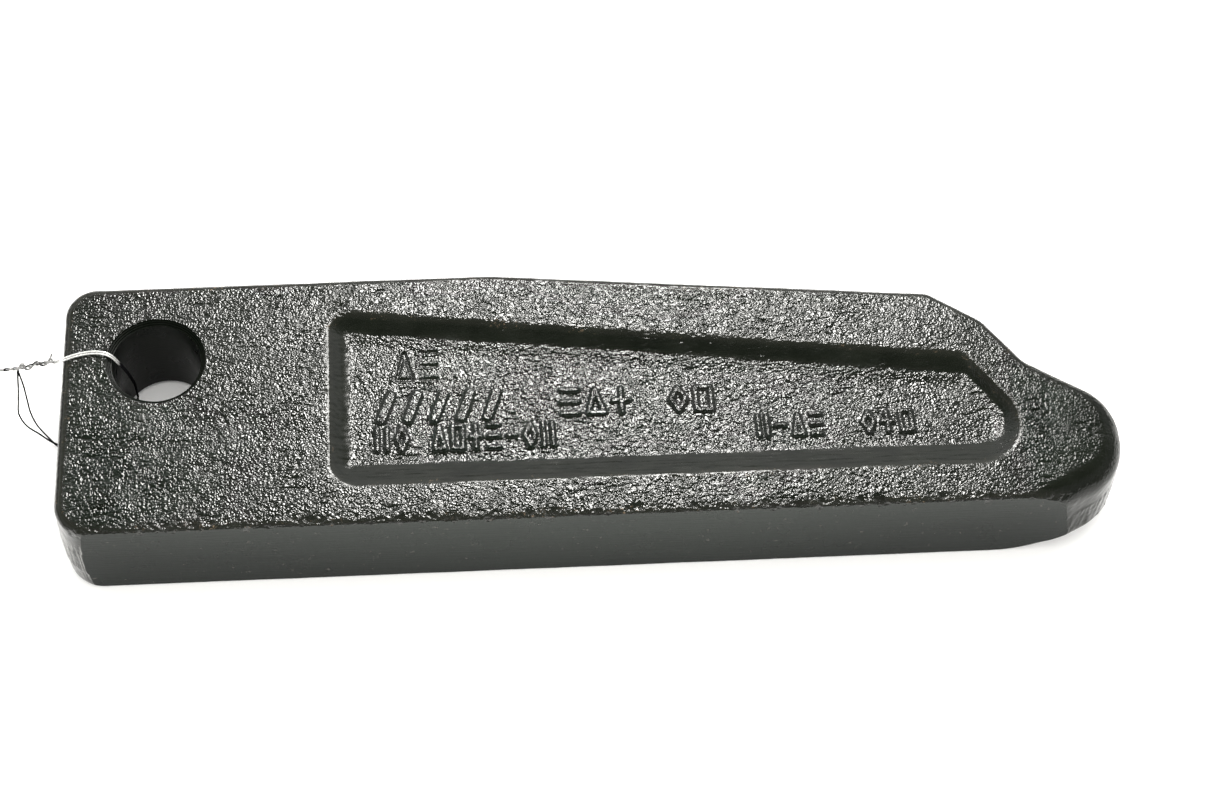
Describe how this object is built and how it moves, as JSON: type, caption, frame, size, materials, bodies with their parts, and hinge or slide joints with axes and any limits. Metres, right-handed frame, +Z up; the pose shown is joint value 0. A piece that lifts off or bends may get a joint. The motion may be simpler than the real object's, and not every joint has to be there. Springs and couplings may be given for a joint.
{
  "type": "fifth wheel locking bar",
  "caption": "Flat drop-forged locking bar with a bored pivot eye, one machined long face, a recessed panel and a beaked nose, with a wire tie looped through the eye.",
  "frame": {"origin": "middle of the bar's bounding box at its underside, the face that it lies on", "axes": "+X from the pivot eye to the beaked nose, +Y from the machined face to the far edge, +Z up through the thickness to the face with the recessed panel"},
  "size_m": [0.3176, 0.0778, 0.033],
  "materials": {
    "black_painted_forging": "semi-gloss black paint over a coarse as-forged skin, satin on the machined face",
    "galvanised_wire": "bright galvanised over the bar, dull and dark on its return"
  },
  "bodies": {
    "root": {"locking_bar": "black_painted_forging", "tie_wire_leg_near": "galvanised_wire", "tie_wire_leg_far": "galvanised_wire", "tie_wire_twist": "galvanised_wire", "tie_wire_tag_loop": "galvanised_wire"}
  },
  "joints": []
}
